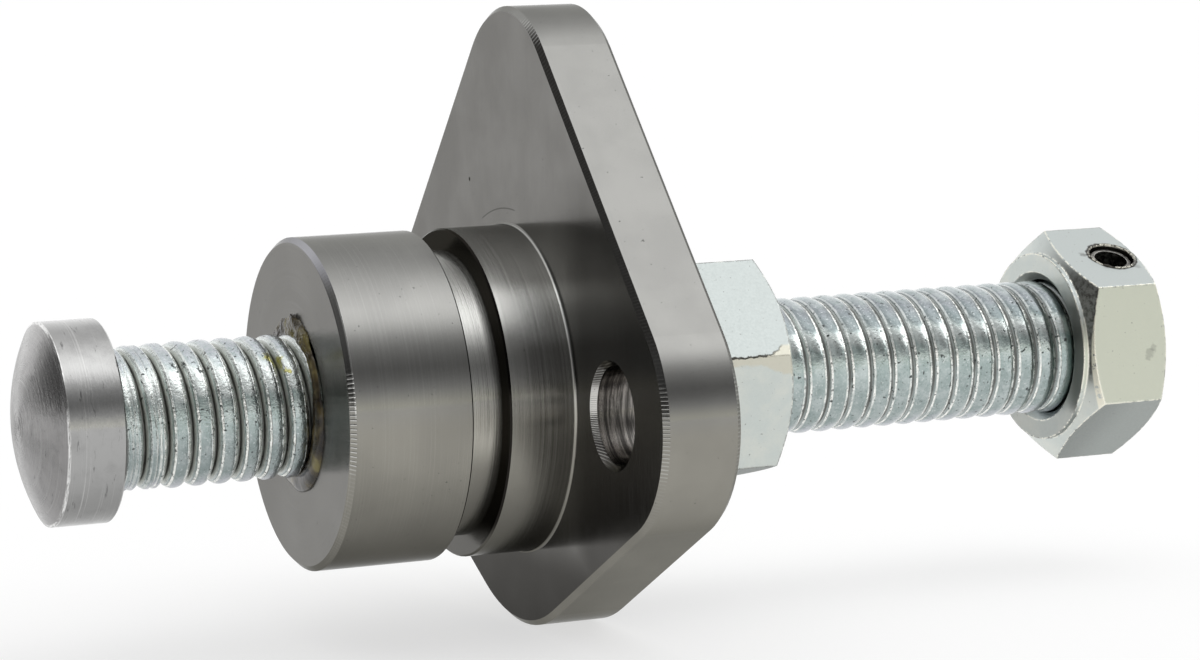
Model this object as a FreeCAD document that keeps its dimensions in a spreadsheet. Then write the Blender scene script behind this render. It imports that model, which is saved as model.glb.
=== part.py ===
import FreeCAD, Part
import math
import os
import Sketcher

# Manual cam chain tensioner: a turned and milled body with a round nose and a
# two-bolt flange, a long threaded adjuster with a swivelling pusher tip in front
# and a pinned nut for a head behind, and a nut that locks the adjuster.
# Millimetres. X runs along the adjuster, from the pusher tip (low) to the head (high).
# Y runs across the bolts, Z points up to the flange's apex.
# The origin is on the adjuster's axis, in the flange's mating face.

doc = FreeCAD.newDocument("cam_chain_tensioner")

# driving dimensions
SIZES = [
    ("thread_diameter", 9.525),
    ("running_clearance", 0.06),
    ("seat_clearance", 0.02),
    ("nose_diameter", 22.0),
    ("nose_length", 15.4),
    ("nose_chamfer", 0.35),
    ("nose_groove_start", 4.6),
    ("nose_groove_width", 2.5),
    ("nose_groove_diameter", 19.1),
    ("groove_edge_break", 0.12),
    ("bore_countersink", 0.95),
    ("flange_thickness", 5.3),
    ("flange_chamfer", 0.35),
    ("bolt_spacing", 33.4),
    ("bolt_hole_diameter", 6.4),
    ("lobe_radius", 8.1),
    ("apex_height", 25.6),
    ("apex_radius", 8.2),
    ("foot_depth", 16.1),
    ("foot_radius", 13.3),
    ("boss_diameter", 15.9),
    ("boss_length", 4.2),
    ("boss_chamfer", 0.4),
    ("nut_across_flats", 14.2),
    ("nut_corner_chamfer", 0.85),
    ("nut_face_diameter", 13.3),
    ("nut_mouth", 0.55),
    ("jam_nut_height", 8.3),
    ("jam_nut_turn", -12.9),
    ("head_nut_height", 6.65),
    ("head_nut_gap", 22.7),
    ("head_nut_turn", 25.0),
    ("washer_face_height", 0.35),
    ("pin_diameter", 3.2),
    ("pin_wall", 0.42),
    ("pin_slot", 0.9),
    ("pin_end_chamfer", 0.2),
    ("pin_inset", 0.25),
    ("pin_place", 4.5),
    ("stud_end_chamfer", 0.6),
    ("stud_end_inset", 0.3),
    ("tip_reach", 13.3),
    ("tip_diameter", 13.2),
    ("tip_side", 3.7),
    ("tip_dome", 1.65),
    ("tip_edge_break", 0.12),
    ("socket_lip", 0.7),
    ("spigot_neck_diameter", 5.4),
    ("spigot_head_diameter", 6.6),
    ("spigot_head_length", 1.9),
    ("band_diameter", 9.0),
    ("band_length", 1.1),
    ("sealant_bulge", 0.3),
]
VALUE = dict(SIZES)

sheet = doc.addObject("Spreadsheet::Sheet", "Sizes")
for row, (alias, size) in enumerate(SIZES, start=1):
    sheet.set("A%d" % row, alias)
    sheet.set("B%d" % row, str(size))
    sheet.setAlias("B%d" % row, alias)
doc.recompute()

# places along the axis that several pieces share, as expressions on the sheet
THREAD_RADIUS = "Sizes.thread_diameter / 2"
RUNNING_BORE = "Sizes.thread_diameter / 2 + Sizes.running_clearance"
NOSE_FACE = "-Sizes.nose_length"
BOSS_FACE = "Sizes.flange_thickness + Sizes.boss_length"
HEAD_FACE = BOSS_FACE + " + Sizes.jam_nut_height + Sizes.head_nut_gap"
PIN_PLACE = HEAD_FACE + " + Sizes.pin_place"
TIP_BACK = "-Sizes.nose_length - Sizes.tip_reach"

# how far a cutting profile stands clear of what it cuts
OVERRUN = "1"
# how far the cone that chamfers a nut's corners reaches, in corner chamfers
PAST_CORNER = "1.2"
# two places closer than this are the same
NEAR = 1e-4
# a profile is first drawn as a small even ring above the axis, and its sizes then place it
ROUGH_HEIGHT = 20
ROUGH_RADIUS = 5


def new_body(name):
    """An empty body; its name is the sub-part's name."""
    body = doc.addObject("PartDesign::Body", name)
    body.Label = name
    return body


def origin_plane(body, role):
    """The body's own origin plane with that role."""
    return [feature for feature in body.Origin.OriginFeatures if feature.Role == role][0]


def new_sketch(body, name, role, height=None):
    """An empty sketch on one of the body's own origin planes, or at a height above it."""
    sketch = body.newObject("Sketcher::SketchObject", name)
    sketch.AttachmentSupport = (origin_plane(body, role), [""])
    sketch.MapMode = "FlatFace"
    if height is not None:
        sketch.setExpression("AttachmentOffset.Base.z", height)
    return sketch


def bind(sketch, name, expression, *constraint):
    """Adds a constraint with a size and ties that size to the sheet."""
    index = sketch.addConstraint(Sketcher.Constraint(*constraint))
    sketch.renameConstraint(index, name)
    sketch.setExpression("Constraints." + name, expression)


def place_vertex(sketch, element, corner, along, across, near=(1.0, 1.0)):
    """Ties the start of an element, now near that point, to its distances from the sketch's origin."""
    bind(sketch, "along_%d" % corner, along, "DistanceX", -1, 1, element, 1, near[0])
    bind(sketch, "across_%d" % corner, across, "DistanceY", -1, 1, element, 1, near[1])


def closed_profile(sketch, corners):
    """Lines through corners, each a pair of expressions."""
    count = len(corners)
    rough = []
    for k in range(count):
        turn = 2 * math.pi * k / count
        across = ROUGH_HEIGHT + ROUGH_RADIUS * math.sin(turn)
        rough.append(FreeCAD.Vector(ROUGH_RADIUS * math.cos(turn), across, 0))
    for k in range(count):
        sketch.addGeometry(Part.LineSegment(rough[k], rough[(k + 1) % count]), False)
    for k in range(count):
        sketch.addConstraint(Sketcher.Constraint("Coincident", k, 2, (k + 1) % count, 1))
    for k, (along, across) in enumerate(corners):
        place_vertex(sketch, k, k, along, across)


def circle_on_axis(sketch, name, place, radius):
    """A circle with its centre on the sketch's own X axis."""
    circle = Part.Circle(FreeCAD.Vector(1, 0, 0), FreeCAD.Vector(0, 0, 1), 1)
    index = sketch.addGeometry(circle, False)
    sketch.addConstraint(Sketcher.Constraint("PointOnObject", index, 3, -1))
    bind(sketch, name + "_place", place, "DistanceX", -1, 1, index, 3, 1.0)
    bind(sketch, name + "_radius", radius, "Radius", index, 1.0)


def revolve(body, name, sketch, cut=False):
    """Turns a sketch about its own X axis, added to the body or cut from it."""
    feature = body.newObject("PartDesign::Groove" if cut else "PartDesign::Revolution", name)
    feature.Profile = sketch
    feature.ReferenceAxis = (sketch, ["H_Axis"])
    feature.Angle = 360
    doc.recompute()
    return feature


def turned(body, name, corners, cut=False):
    """Corners in the XZ plane, turned about the X axis."""
    sketch = new_sketch(body, name + "_profile", "XZ_Plane")
    closed_profile(sketch, corners)
    return revolve(body, name, sketch, cut)


def edges_in_plane(shape, along):
    """Names of the edges that lie in the plane X = along."""
    names = []
    for k, edge in enumerate(shape.Edges, start=1):
        if abs(edge.BoundBox.XMin - along) < NEAR and abs(edge.BoundBox.XMax - along) < NEAR:
            names.append("Edge%d" % k)
    return names


def outer_end_edges(shape, diameter):
    """Names of the flat circular edges of that diameter that lie across the Z axis."""
    names = []
    for k, edge in enumerate(shape.Edges, start=1):
        box = edge.BoundBox
        if box.ZLength < NEAR and abs(box.XLength - diameter) < NEAR:
            names.append("Edge%d" % k)
    return names


def through_bore(body, name, radius, start, start_mouth, end, end_mouth):
    """A bore along X with a 45 degree mouth at each end."""
    return turned(
        body,
        name,
        [
            ("%s - %s" % (start, OVERRUN), "0"),
            ("%s - %s" % (start, OVERRUN), "%s + %s + %s" % (radius, start_mouth, OVERRUN)),
            ("%s + %s" % (start, start_mouth), radius),
            ("%s - %s" % (end, end_mouth), radius),
            ("%s + %s" % (end, OVERRUN), "%s + %s + %s" % (radius, end_mouth, OVERRUN)),
            ("%s + %s" % (end, OVERRUN), "0"),
        ],
        cut=True,
    )


def cross_hole(body, name):
    """The hole for the spring pin, along the body's own Z axis."""
    sketch = new_sketch(body, name + "_circle", "XY_Plane")
    circle_on_axis(sketch, "hole", PIN_PLACE, "Sizes.pin_diameter / 2 + Sizes.seat_clearance")
    hole = body.newObject("PartDesign::Pocket", name)
    hole.Profile = sketch
    hole.Type = "ThroughAll"
    hole.Midplane = True
    doc.recompute()


def turn_about_axis(body, angle):
    """Turns a finished body about the adjuster's axis by a size on the sheet."""
    body.Placement = FreeCAD.Placement(FreeCAD.Vector(0, 0, 0), FreeCAD.Vector(1, 0, 0), VALUE[angle])
    body.setExpression("Placement.Rotation.Angle", "Sizes." + angle)


def tangent_direction(first, second):
    """Outward normal of the outer tangent of two circles (y, z, radius), met in counter-clockwise order."""
    dy, dz = second[0] - first[0], second[1] - first[1]
    length = math.hypot(dy, dz)
    lean = (first[2] - second[2]) / length
    upright = math.sqrt(1 - lean * lean)
    return (lean * dy + upright * dz) / length, (lean * dz - upright * dy) / length


def flange_outline(sketch):
    """Apex, lobe, foot and lobe arcs, counter-clockwise, joined by tangent lines."""
    half = VALUE["bolt_spacing"] / 2
    circles = [
        (0.0, VALUE["apex_height"] - VALUE["apex_radius"], VALUE["apex_radius"]),
        (-half, 0.0, VALUE["lobe_radius"]),
        (0.0, VALUE["foot_radius"] - VALUE["foot_depth"], VALUE["foot_radius"]),
        (half, 0.0, VALUE["lobe_radius"]),
    ]
    normals = [tangent_direction(circles[k], circles[(k + 1) % 4]) for k in range(4)]
    axis = FreeCAD.Vector(0, 0, 1)
    for k, (y, z, radius) in enumerate(circles):
        before, after = normals[k - 1], normals[k]
        circle = Part.Circle(FreeCAD.Vector(y, z, 0), axis, radius)
        start = math.atan2(before[1], before[0])
        stop = math.atan2(after[1], after[0])
        if stop < start:
            stop += 2 * math.pi
        sketch.addGeometry(Part.ArcOfCircle(circle, start, stop), False)
    for k in range(4):
        ends = []
        for y, z, radius in (circles[k], circles[(k + 1) % 4]):
            ends.append(FreeCAD.Vector(y + normals[k][0] * radius, z + normals[k][1] * radius, 0))
        sketch.addGeometry(Part.LineSegment(*ends), False)
    for k in range(4):
        sketch.addConstraint(Sketcher.Constraint("Tangent", k, 2, 4 + k, 1))
        sketch.addConstraint(Sketcher.Constraint("Tangent", 4 + k, 2, (k + 1) % 4, 1))
    names = ("apex", "near_lobe", "foot", "far_lobe")
    cells = ("apex", "lobe", "foot", "lobe")
    for k, (y, z, radius) in enumerate(circles):
        bind(sketch, names[k] + "_radius", "Sizes.%s_radius" % cells[k], "Radius", k, radius)
    apex_centre = "Sizes.apex_height - Sizes.apex_radius"
    foot_centre = "Sizes.foot_radius - Sizes.foot_depth"
    for k, axis_line, place, kind, near in (
        (0, -2, apex_centre, "DistanceY", circles[0][1]),
        (1, -1, "-Sizes.bolt_spacing / 2", "DistanceX", -half),
        (2, -2, foot_centre, "DistanceY", circles[2][1]),
        (3, -1, "Sizes.bolt_spacing / 2", "DistanceX", half),
    ):
        sketch.addConstraint(Sketcher.Constraint("PointOnObject", k, 3, axis_line))
        bind(sketch, names[k] + "_centre", place, kind, -1, 1, k, 3, near)


def make_tensioner_body():
    """Flange, nose, collar and boss in one piece, bored right through."""
    body = new_body("tensioner_body")

    outline = new_sketch(body, "flange_outline", "YZ_Plane")
    flange_outline(outline)
    flange = body.newObject("PartDesign::Pad", "flange")
    flange.Profile = outline
    flange.setExpression("Length", "Sizes.flange_thickness")
    doc.recompute()

    circles = new_sketch(body, "bolt_circles", "YZ_Plane")
    circle_on_axis(circles, "near", "-Sizes.bolt_spacing / 2", "Sizes.bolt_hole_diameter / 2")
    circle_on_axis(circles, "far", "Sizes.bolt_spacing / 2", "Sizes.bolt_hole_diameter / 2")
    holes = body.newObject("PartDesign::Pocket", "bolt_holes")
    holes.Profile = circles
    holes.Type = "ThroughAll"
    holes.Reversed = True
    doc.recompute()

    edges = body.newObject("PartDesign::Chamfer", "flange_edges")
    edges.Base = (
        holes,
        edges_in_plane(holes.Shape, 0) + edges_in_plane(holes.Shape, VALUE["flange_thickness"]),
    )
    edges.setExpression("Size", "Sizes.flange_chamfer")
    doc.recompute()

    nose_radius = "Sizes.nose_diameter / 2"
    groove_radius = "Sizes.nose_groove_diameter / 2"
    edge = "Sizes.groove_edge_break"
    groove_end = "-Sizes.nose_groove_start"
    groove_start = "-Sizes.nose_groove_start - Sizes.nose_groove_width"
    inside_flange = "Sizes.flange_thickness / 2"
    turned(
        body,
        "nose",
        [
            (NOSE_FACE, "0"),
            (NOSE_FACE, nose_radius + " - Sizes.nose_chamfer"),
            (NOSE_FACE + " + Sizes.nose_chamfer", nose_radius),
            (groove_start + " - " + edge, nose_radius),
            (groove_start, nose_radius + " - " + edge),
            (groove_start, groove_radius),
            (groove_end, groove_radius),
            (groove_end, nose_radius + " - " + edge),
            (groove_end + " + " + edge, nose_radius),
            (inside_flange, nose_radius),
            (inside_flange, "0"),
        ],
    )
    boss_radius = "Sizes.boss_diameter / 2"
    turned(
        body,
        "boss",
        [
            (inside_flange, "0"),
            (inside_flange, boss_radius),
            (BOSS_FACE + " - Sizes.boss_chamfer", boss_radius),
            (BOSS_FACE, boss_radius + " - Sizes.boss_chamfer"),
            (BOSS_FACE, "0"),
        ],
    )
    through_bore(
        body, "bore", RUNNING_BORE, NOSE_FACE, "Sizes.bore_countersink", BOSS_FACE, "Sizes.boss_chamfer"
    )
    return body


def make_thread_sealant():
    """A bead squeezed out round the adjuster, in the countersink of the nose."""
    body = new_body("thread_sealant")
    lip = NOSE_FACE + " - Sizes.sealant_bulge"
    turned(
        body,
        "bead",
        [
            (NOSE_FACE + " + Sizes.bore_countersink", RUNNING_BORE),
            (lip, RUNNING_BORE),
            (lip, RUNNING_BORE + " + Sizes.bore_countersink - Sizes.sealant_bulge"),
            (NOSE_FACE, RUNNING_BORE + " + Sizes.bore_countersink"),
        ],
    )
    return body


def make_pusher_tip():
    """A domed button, staked over the adjuster's spigot so that it swivels there."""
    body = new_body("pusher_tip")
    tip_radius = "Sizes.tip_diameter / 2"
    neck = "Sizes.spigot_neck_diameter / 2 + Sizes.running_clearance"
    socket = "Sizes.spigot_head_diameter / 2 + Sizes.running_clearance"
    socket_end = TIP_BACK + " - Sizes.socket_lip - Sizes.spigot_head_length - 2 * Sizes.seat_clearance"
    rim = TIP_BACK + " - Sizes.tip_side"
    turned(
        body,
        "button",
        [
            (rim, "0"),
            (socket_end, "0"),
            (socket_end, socket),
            (TIP_BACK + " - Sizes.socket_lip", socket),
            (TIP_BACK + " - Sizes.socket_lip", neck),
            (TIP_BACK, neck),
            (TIP_BACK, tip_radius + " - Sizes.tip_edge_break"),
            (TIP_BACK + " - Sizes.tip_edge_break", tip_radius),
            (rim, tip_radius),
        ],
    )
    radius = VALUE["tip_diameter"] / 2
    height = VALUE["tip_dome"]
    sphere = (radius ** 2 + height ** 2) / (2 * height)
    rim_at = -VALUE["nose_length"] - VALUE["tip_reach"] - VALUE["tip_side"]
    points = [(rim_at - height, 0.0), (rim_at, 0.0), (rim_at, radius)]
    apex_point, foot_point, rim_point = [FreeCAD.Vector(x, y, 0) for x, y in points]
    centre = FreeCAD.Vector(rim_at - height + sphere, 0, 0)
    circle = Part.Circle(centre, FreeCAD.Vector(0, 0, 1), sphere)
    profile = new_sketch(body, "dome_profile", "XZ_Plane")
    profile.addGeometry(Part.LineSegment(apex_point, foot_point), False)
    profile.addGeometry(Part.LineSegment(foot_point, rim_point), False)
    profile.addGeometry(Part.ArcOfCircle(circle, math.pi - math.asin(radius / sphere), math.pi), False)
    for k in range(3):
        profile.addConstraint(Sketcher.Constraint("Coincident", k, 2, (k + 1) % 3, 1))
    profile.addConstraint(Sketcher.Constraint("PointOnObject", 2, 3, -1))
    for k, corner in enumerate([(rim + " - Sizes.tip_dome", "0"), (rim, "0"), (rim, tip_radius)]):
        place_vertex(profile, k, k, *corner, near=points[k])
    revolve(body, "dome", profile)
    return body


def make_adjuster_stud():
    """The threaded rod, at its outside diameter, with a spigot for the tip and a hole for the pin."""
    body = new_body("adjuster_stud")
    neck = "Sizes.spigot_neck_diameter / 2"
    head = "Sizes.spigot_head_diameter / 2"
    band = "Sizes.band_diameter / 2"
    shoulder = TIP_BACK + " + Sizes.seat_clearance"
    neck_start = TIP_BACK + " - Sizes.socket_lip - Sizes.seat_clearance"
    spigot_end = neck_start + " - Sizes.spigot_head_length"
    thread_start = shoulder + " + Sizes.band_length"
    stud_end = HEAD_FACE + " + Sizes.head_nut_height - Sizes.stud_end_inset"
    turned(
        body,
        "shank",
        [
            (spigot_end, "0"),
            (spigot_end, head),
            (neck_start, head),
            (neck_start, neck),
            (shoulder, neck),
            (shoulder, band),
            (thread_start, band),
            (thread_start, THREAD_RADIUS),
            (stud_end + " - Sizes.stud_end_chamfer", THREAD_RADIUS),
            (stud_end, THREAD_RADIUS + " - Sizes.stud_end_chamfer"),
            (stud_end, "0"),
        ],
    )
    cross_hole(body, "pin_hole")
    turn_about_axis(body, "head_nut_turn")
    return body


def make_nut(name, start, height, washer_face, bore_radius, turn):
    """A hexagon nut along X with chamfered corners and, where washer_face isn't 0, a round front face."""
    body = new_body(name)
    hexagon = new_sketch(body, name + "_hexagon", "YZ_Plane", start)
    corner = "Sizes.nut_across_flats / sqrt(3)"
    flat = "Sizes.nut_across_flats / 2"
    closed_profile(
        hexagon,
        [
            (corner, "0"),
            (corner + " / 2", flat),
            ("-%s / 2" % corner, flat),
            ("-" + corner, "0"),
            ("-%s / 2" % corner, "-" + flat),
            (corner + " / 2", "-" + flat),
        ],
    )
    blank = body.newObject("PartDesign::Pad", name + "_blank")
    blank.Profile = hexagon
    blank.setExpression("Length", height)
    doc.recompute()

    end = "%s + %s" % (start, height)
    face = "Sizes.nut_face_diameter / 2"
    past_corner = "%s + %s * (%s - %s)" % (face, PAST_CORNER, corner, face)
    chamfer = PAST_CORNER + " * Sizes.nut_corner_chamfer"
    turned(
        body,
        name + "_front",
        [
            ("%s - %s" % (start, OVERRUN), face),
            ("%s + %s" % (start, washer_face), face),
            ("%s + %s + %s" % (start, washer_face, chamfer), past_corner),
            ("%s - %s" % (start, OVERRUN), past_corner),
        ],
        cut=True,
    )
    turned(
        body,
        name + "_back",
        [
            ("%s + %s" % (end, OVERRUN), face),
            ("%s + %s" % (end, OVERRUN), past_corner),
            ("%s - %s" % (end, chamfer), past_corner),
            (end, face),
        ],
        cut=True,
    )
    through_bore(body, name + "_bore", bore_radius, start, "Sizes.nut_mouth", end, "Sizes.nut_mouth")
    turn_about_axis(body, turn)
    return body


def make_spring_pin():
    """A slotted spring pin, a little short of the nut's flats at both ends."""
    body = new_body("spring_pin")
    section = new_sketch(body, "pin_section", "XY_Plane")
    circle_on_axis(section, "outside", PIN_PLACE, "Sizes.pin_diameter / 2")
    circle_on_axis(section, "inside", PIN_PLACE, "Sizes.pin_diameter / 2 - Sizes.pin_wall")
    tube = body.newObject("PartDesign::Pad", "pin_tube")
    tube.Profile = section
    tube.Midplane = True
    tube.setExpression("Length", "Sizes.nut_across_flats - 2 * Sizes.pin_inset")
    doc.recompute()

    ends = body.newObject("PartDesign::Chamfer", "pin_ends")
    ends.Base = (tube, outer_end_edges(tube.Shape, VALUE["pin_diameter"]))
    ends.setExpression("Size", "Sizes.pin_end_chamfer")
    doc.recompute()

    cutter = new_sketch(body, "pin_slot_section", "XY_Plane")
    closed_profile(
        cutter,
        [
            (PIN_PLACE + " - Sizes.pin_slot / 2", "0"),
            (PIN_PLACE + " + Sizes.pin_slot / 2", "0"),
            (PIN_PLACE + " + Sizes.pin_slot / 2", "-Sizes.pin_diameter"),
            (PIN_PLACE + " - Sizes.pin_slot / 2", "-Sizes.pin_diameter"),
        ],
    )
    slot = body.newObject("PartDesign::Pocket", "pin_slot")
    slot.Profile = cutter
    slot.Type = "ThroughAll"
    slot.Midplane = True
    doc.recompute()
    turn_about_axis(body, "head_nut_turn")
    return body


def make_jam_nut():
    """The nut that locks the adjuster, up against the boss."""
    return make_nut("jam_nut", BOSS_FACE, "Sizes.jam_nut_height", "0", RUNNING_BORE, "jam_nut_turn")


def make_head_nut():
    """The nut pinned to the adjuster's end, with a washer face in front."""
    bore = THREAD_RADIUS + " + Sizes.seat_clearance"
    washer_face = "Sizes.washer_face_height"
    body = make_nut("head_nut", HEAD_FACE, "Sizes.head_nut_height", washer_face, bore, "head_nut_turn")
    cross_hole(body, "nut_pin_hole")
    return body


subparts = [
    make_tensioner_body(),
    make_thread_sealant(),
    make_pusher_tip(),
    make_adjuster_stud(),
    make_jam_nut(),
    make_head_nut(),
    make_spring_pin(),
]
doc.recompute()

failed = [thing.Name for thing in doc.Objects if {"Invalid", "Error"} & set(thing.State)]
for body in subparts:
    if body.Shape.isNull() or not body.Shape.isValid() or len(body.Shape.Solids) != 1:
        failed.append(body.Label)
if failed:
    raise RuntimeError("these objects failed: " + ", ".join(failed))

os.makedirs("parts", exist_ok=True)
for body in subparts:
    body.Shape.exportStep("parts/%s.step" % body.Label)
    box = body.Shape.BoundBox
    print(
        "%-16s volume %8.1f  X %6.2f %6.2f  Y %6.2f %6.2f  Z %6.2f %6.2f"
        % (body.Label, body.Shape.Volume, box.XMin, box.XMax, box.YMin, box.YMax, box.ZMin, box.ZMax)
    )
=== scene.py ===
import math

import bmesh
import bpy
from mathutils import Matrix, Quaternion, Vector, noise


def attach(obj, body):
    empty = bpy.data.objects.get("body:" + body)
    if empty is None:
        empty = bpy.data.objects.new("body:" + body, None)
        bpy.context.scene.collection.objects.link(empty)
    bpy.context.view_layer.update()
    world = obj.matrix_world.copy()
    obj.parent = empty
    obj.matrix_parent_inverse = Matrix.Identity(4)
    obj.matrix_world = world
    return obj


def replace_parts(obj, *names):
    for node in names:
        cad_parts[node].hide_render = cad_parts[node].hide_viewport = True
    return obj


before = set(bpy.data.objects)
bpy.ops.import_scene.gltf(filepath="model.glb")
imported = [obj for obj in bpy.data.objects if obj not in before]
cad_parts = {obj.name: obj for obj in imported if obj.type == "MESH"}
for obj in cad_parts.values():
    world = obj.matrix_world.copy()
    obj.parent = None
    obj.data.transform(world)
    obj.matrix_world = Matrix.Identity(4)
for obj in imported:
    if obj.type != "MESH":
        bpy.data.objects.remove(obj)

# Cam chain tensioner. The CAD body, tip, nuts and pin stay, with procedural materials. The
# plain stud gets its rolled thread here, and the sealant bead its lumps. The small radius at
# the collar's root and the burr round the pin's hole are added.
# Lengths in the tables are in millimetres; Blender's own are metres. X runs from the pusher
# tip to the adjuster head, Y away from the camera, Z towards the flange's apex.

SCENE = bpy.context.scene
SCENE.view_settings.view_transform = "Standard"
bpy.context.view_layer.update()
MM = 0.001

THREAD_PITCH = 25.4 / 16
THREAD_RADIUS = 9.525 / 2
CREST_RADIUS = THREAD_RADIUS - 0.02
HEAD_DEPTH = 0.48          # towards the head the thread comes near this depth
DEPTH_CHANGES = (-15.0, 7.0)      # along X, inside the housing
PIN_X, PIN_TURN = 45.0, math.radians(25.0)      # the spring pin, and its tilt towards the camera


# ---------------------------------------------------------------- node trees

class Nodes:
    """Short calls for one node tree, so that a material reads as what it does."""

    def __init__(self, tree):
        self.tree = tree

    def add(self, kind, inputs=None, **settings):
        made = self.tree.nodes.new(kind)
        for name, value in settings.items():
            setattr(made, name, value)
        for name, value in (inputs or {}).items():
            self.give(made.inputs[name], value)
        return made

    def give(self, socket, value):
        if isinstance(value, bpy.types.NodeSocket):
            self.tree.links.new(value, socket)
        else:
            socket.default_value = value

    # numbers

    def math(self, operation, first, second=0.0, third=0.0):
        return self.add("ShaderNodeMath", {0: first, 1: second, 2: third},
                        operation=operation).outputs[0]

    def product(self, *values):
        result = values[0]
        for value in values[1:]:
            result = self.math("MULTIPLY", result, value)
        return result

    def either(self, *masks):
        """The strongest of some masks."""
        result = masks[0]
        for mask in masks[1:]:
            result = self.math("MAXIMUM", result, mask)
        return result

    def outside(self, mask):
        return self.math("SUBTRACT", 1.0, mask)

    def hypot(self, first, second):
        return self.math("SQRT", self.math("ADD", self.product(first, first),
                                           self.product(second, second)))

    def step(self, value, low, high, bottom=0.0, top=1.0):
        """A smooth step from bottom, at low, to top, at high."""
        return self.add("ShaderNodeMapRange", {"Value": value, "From Min": low, "From Max": high,
                                               "To Min": bottom, "To Max": top},
                        interpolation_type="SMOOTHSTEP").outputs["Result"]

    def within(self, value, low, high, soft):
        """One between low and high, zero outside them."""
        return self.product(self.step(value, low - soft, low),
                            self.step(value, high, self.math("ADD", high, soft), 1.0, 0.0))

    def blend(self, factor, first, second):
        """From the first number, where factor is 0, to the second, where it is 1."""
        made = self.add("ShaderNodeMix", data_type="FLOAT")
        self.give(made.inputs[0], factor)
        self.give(made.inputs[2], first)
        self.give(made.inputs[3], second)
        return made.outputs[0]

    # vectors

    def join(self, x=0.0, y=0.0, z=0.0):
        return self.add("ShaderNodeCombineXYZ", {0: x, 1: y, 2: z}).outputs[0]

    def parts(self, vector):
        return self.add("ShaderNodeSeparateXYZ", {0: vector}).outputs

    def distance(self, first, second):
        return self.add("ShaderNodeVectorMath", {0: first, 1: second},
                        operation="DISTANCE").outputs["Value"]

    def bump(self, height, distance, normal=None):
        """The normal over a height whose unit stands this many millimetres high."""
        made = self.add("ShaderNodeBump", {"Height": height, "Distance": distance * MM})
        if normal is not None:
            self.give(made.inputs["Normal"], normal)
        return made.outputs["Normal"]

    # patterns

    def noise(self, place, scale, detail=2.0, rough=0.5):
        return self.add("ShaderNodeTexNoise", {"Vector": place, "Scale": scale, "Detail": detail,
                                               "Roughness": rough}).outputs["Fac"]

    def streaks(self, axes, detail, rough=0.5):
        """Noise drawn out along its axes, each (value, how fast the noise changes with it)."""
        place = self.join(*(self.product(value, rate) for value, rate in axes))
        return self.noise(place, 1.0, detail, rough)

    # colours: each is a socket, or (red, green, blue)

    def mix(self, factor, first, second, blend="MIX"):
        made = self.add("ShaderNodeMix", data_type="RGBA", blend_type=blend)
        self.give(made.inputs[0], factor)
        for slot, colour in ((6, first), (7, second)):
            self.give(made.inputs[slot], (*colour, 1.0) if isinstance(colour, tuple) else colour)
        return made.outputs[2]

    def paint(self, under, colour, *masks):
        """A colour over what is under it, where all the masks are."""
        return self.mix(self.product(*masks), under, colour)

    def ramp(self, factor, stops, scale=1.0):
        made = self.add("ShaderNodeValToRGB", {"Fac": factor})
        points = made.color_ramp.elements
        while len(points) < len(stops):
            points.new(0.5)
        for point, (place, colour) in zip(points, stops):
            point.position = place
            point.color = (*[channel * scale for channel in colour], 1.0)
        return made.outputs["Color"]


class Material(Nodes):
    """The calls for one material's nodes."""

    def __init__(self, name):
        self.material = bpy.data.materials.new(name)
        self.material.use_nodes = True
        super().__init__(self.material.node_tree)
        self.shader = self.tree.nodes["Principled BSDF"]

    def look(self, name, value):
        self.give(self.shader.inputs[name], value)

    def millimetres(self):
        """The place on the object."""
        place = self.add("ShaderNodeTexCoord").outputs["Object"]
        return self.add("ShaderNodeVectorMath", {0: place, 3: 1 / MM},
                        operation="SCALE").outputs[0]


class Metal(Material):
    """A metal, with the places and the ways it faces that lay out its pattern. Its plain
    roughness is for readers that take no pattern.
    """

    def __init__(self, name, roughness):
        super().__init__(name)
        self.look("Metallic", 1.0)
        self.look("Roughness", roughness)
        self.place = self.millimetres()
        self.x, self.y, self.z = self.parts(self.place)
        self.radius = self.hypot(self.y, self.z)
        self.angle = self.math("ARCTAN2", self.y, self.z)
        self.facing = self.parts(self.add("ShaderNodeTexCoord").outputs["Normal"])

    def rounded(self, radius, samples):
        """The normal with rounded edges, and how much of the flat one is left in it."""
        edge = self.add("ShaderNodeBevel", {"Radius": radius * MM}, samples=samples).outputs[0]
        flat = self.add("ShaderNodeNewGeometry").outputs["Normal"]
        return edge, self.add("ShaderNodeVectorMath", {0: edge, 1: flat},
                              operation="DOT_PRODUCT").outputs["Value"]


# ---------------------------------------------------------------- camera, floor, light

CAMERA_PLACE = Vector((-91.316, -227.159, 31.674))
CAMERA_TURN = Vector((1.44009, -0.27863, -0.35148))      # its axis, as long as its angle
CAMERA_LENS = 109.943

FLOOR_SIZE = 40.0          # in metres: no edge of it shows
FLOOR_HEIGHT = -16.15      # just under the flange's foot
FLOOR_GLOW = 0.62          # how much of the floor is plain white to the eye

# The studio's brightness by roll about the long axis, in degrees up from the horizon in
# front: a dark gap over the table, a long softbox overhead, a plain wall behind.
ROOM_RIGHT = (
    (0, 0.92), (6, 0.70), (13, 0.44), (20, 0.27), (27, 0.20), (34, 0.26), (42, 0.40),
    (49, 0.66), (56, 1.10), (63, 1.48), (71, 1.66), (79, 1.56), (88, 1.36), (98, 1.12),
    (108, 0.92), (118, 0.78), (132, 0.74), (150, 0.90), (180, 1.00),
)
ROOM_LEFT = (
    (0, 0.85), (8, 0.60), (18, 0.42), (40, 0.42), (58, 0.60), (72, 1.05), (90, 1.15),
    (110, 0.95), (132, 0.80), (155, 0.90), (180, 1.00),
)
ROOM_TURNS = (-0.25, 0.2)  # from the left table to the right one, by the X of the direction
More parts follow.
